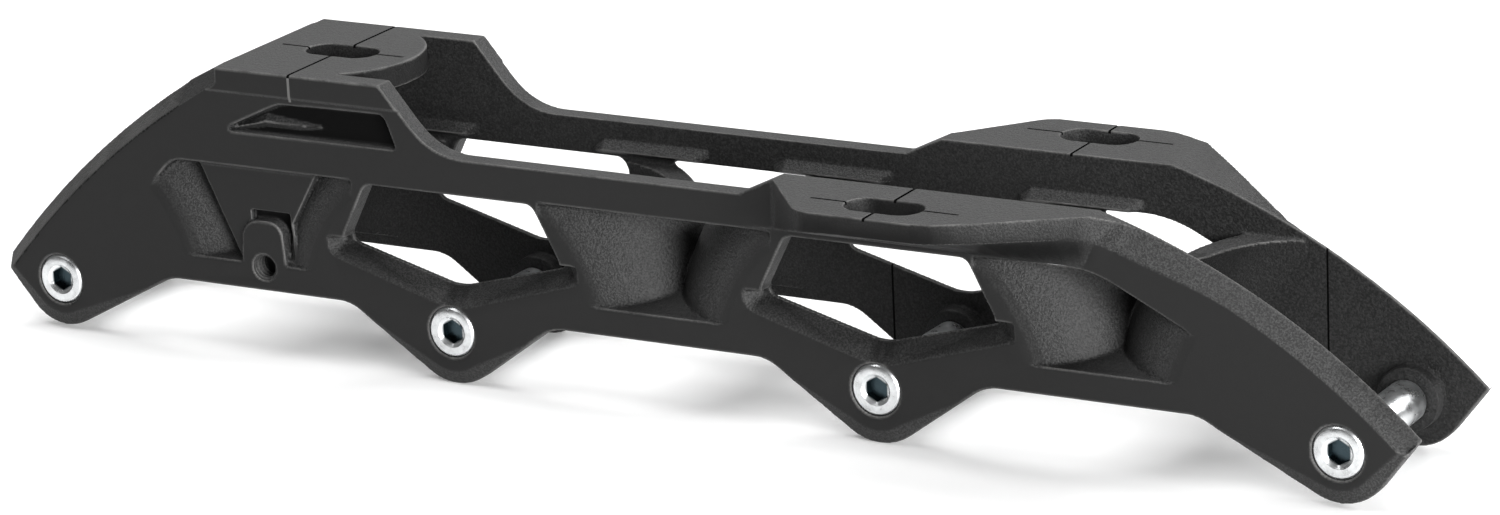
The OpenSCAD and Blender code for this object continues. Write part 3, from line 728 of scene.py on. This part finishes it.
def axle_mesh(body):
    """Turned axle: socket head with broken edges, bearing seat, relief groove and a cut thread."""
    lo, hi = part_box(body)
    head_r = (hi.x - lo.x) / 2 - AXLE_PLAY
    face = lo.y + FACE_PLAY
    head_end = lo.y + HEAD_T
    seat_end = lo.y + SEAT_LEN
    groove_r = THREAD_R - THREAD_DEPTH
    groove_end = seat_end + GROOVE_LEN
    tip_y = hi.y - TIP_PLAY
    # Turned outline from the socket's mouth to the relief groove: place, radius and polish
    outline = [
        (face, MOUTH_R, 0.0),
        (face, head_r - EDGE_FACE, 0.0),
        (lo.y + EDGE_ROUND[0], head_r - EDGE_ROUND[1], 1.0),
        (lo.y + EDGE_SIDE, head_r, 1.0),
        (head_end - HEAD_BREAK, head_r, 0.0),
        (head_end, head_r - HEAD_BREAK, 0.0),
        (head_end, SEAT_R + FILLET_H, 0.0),
        (head_end + FILLET_LEN, SEAT_R, SEAT_POLISH),
        (seat_end - SEAT_CHAMFER, SEAT_R, SEAT_POLISH),
        (seat_end, SEAT_R - SEAT_CHAMFER, 0.0),
        (seat_end, groove_r, 0.0),
        (groove_end, groove_r, 0.0),
    ]
    bm = bmesh.new()
    # Painted shade inside the socket
    depth = bm.verts.layers.float.new("painted_socket_shade")
    polish = bm.verts.layers.float.new("polish")
    last = ring(bm, *outline[0][:2], AXLE_STEPS)
    cut_socket(bm, last, lo.y, polish, depth)
    for y, radius, shine in outline[1:]:
        loop = ring(bm, y, radius, AXLE_STEPS)
        mark(loop, polish, shine)
        bridge(bm, last, loop)
        last = loop
    last = cut_thread(bm, last, groove_end, tip_y)
    tip = bm.verts.new((0, tip_y, 0))
    for i in range(AXLE_STEPS):
        bm.faces.new((last[i], last[(i + 1) % AXLE_STEPS], tip))
    return mesh_from(bm, body + "_turned", ((lo.x + hi.x) / 2, 0, (lo.z + hi.z) / 2))


def build_axle(body, material):
    mesh = axle_mesh(body)
    mesh.materials.append(material)
    for polygon in mesh.polygons:
        polygon.use_smooth = True
    obj = new_object(body + "_turned", mesh)
    crisp = obj.modifiers.new("crisp", "EDGE_SPLIT")
    crisp.split_angle = math.radians(CRISP_ANGLE)
    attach(obj, body)
    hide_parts(body)


# Camera, floor and light


def build_camera():
    """The photograph's view, found by fitting the four axles and the mounting faces."""
    azimuth, elevation, roll = (math.radians(a) for a in (30.103, 17.28, -2.644))
    target = Vector((9.676, 0.0, 26.263)) * MM
    distance = 1049.887 * MM
    focal_px = 5590.79
    level = math.cos(elevation)
    back = Vector((math.sin(azimuth) * level, -math.cos(azimuth) * level, math.sin(elevation)))
    right = Vector((math.cos(azimuth), math.sin(azimuth), 0.0))
    up = back.cross(right)
    c, s = math.cos(roll), math.sin(roll)
    right, up = c * right + s * up, c * up - s * right
    data = bpy.data.cameras.new("photo_camera")
    data.sensor_fit = "HORIZONTAL"
    data.sensor_width = 36.0
    data.lens = data.sensor_width * focal_px / IMAGE_W
    data.clip_start = 0.05
    camera = new_object("photo_camera", data)
    turn = Matrix((right, up, back)).transposed().to_4x4()
    camera.matrix_world = Matrix.Translation(target + back * distance) @ turn
    bpy.context.scene.camera = camera


def build_floor():
    signs = ((-1, -1), (1, -1), (1, 1), (-1, 1))
    corners = [(x * FLOOR_HALF, y * FLOOR_HALF, 0) for x, y in signs]
    mesh = bpy.data.meshes.new("floor")
    mesh.from_pydata(corners, [], [(0, 1, 2, 3)])
    mesh.materials.append(floor_material())
    new_object("floor", mesh)


def area_light(name, place, aim, size, power):
    data = bpy.data.lights.new(name, "AREA")
    data.shape = "RECTANGLE"
    data.size, data.size_y = size
    data.energy = power
    lamp = new_object(name, data)
    lamp.location = place
    lamp.rotation_euler = (Vector(aim) - Vector(place)).to_track_quat("-Z", "Y").to_euler()


def build_light():
    """Softboxes overhead, at the rear and to the right, and a weak panel behind, in a dim room."""
    middle = (0.0, 0.0, 0.03)
    area_light("top_softbox", (-0.25, 0.0, 1.0), middle, (1.0, 0.6), 10)
    area_light("back_panel", (-0.6, 0.95, 0.4), middle, (1.2, 0.4), 2)
    area_light("rear_softbox", (0.75, 1.0, 0.6), middle, (0.6, 0.5), 12)
    area_light("right_softbox", (0.95, -0.62, 0.25), middle, (0.6, 0.5), 20)
    world = bpy.data.worlds.new("studio")
    bpy.context.scene.world = world
    world.use_nodes = True
    background = world.node_tree.nodes["Background"]
    background.inputs["Color"].default_value = grey(1.0)
    background.inputs["Strength"].default_value = ROOM_LIGHT
    bpy.context.scene.view_settings.view_transform = "Standard"


def main():
    coat = casting_material()
    build_casting(coat)
    build_brake_thread(coat)
    zinc = zinc_material()
    for body in AXLE_BODIES:
        build_axle(body, zinc)
    build_floor()
    build_light()
    build_camera()


main()
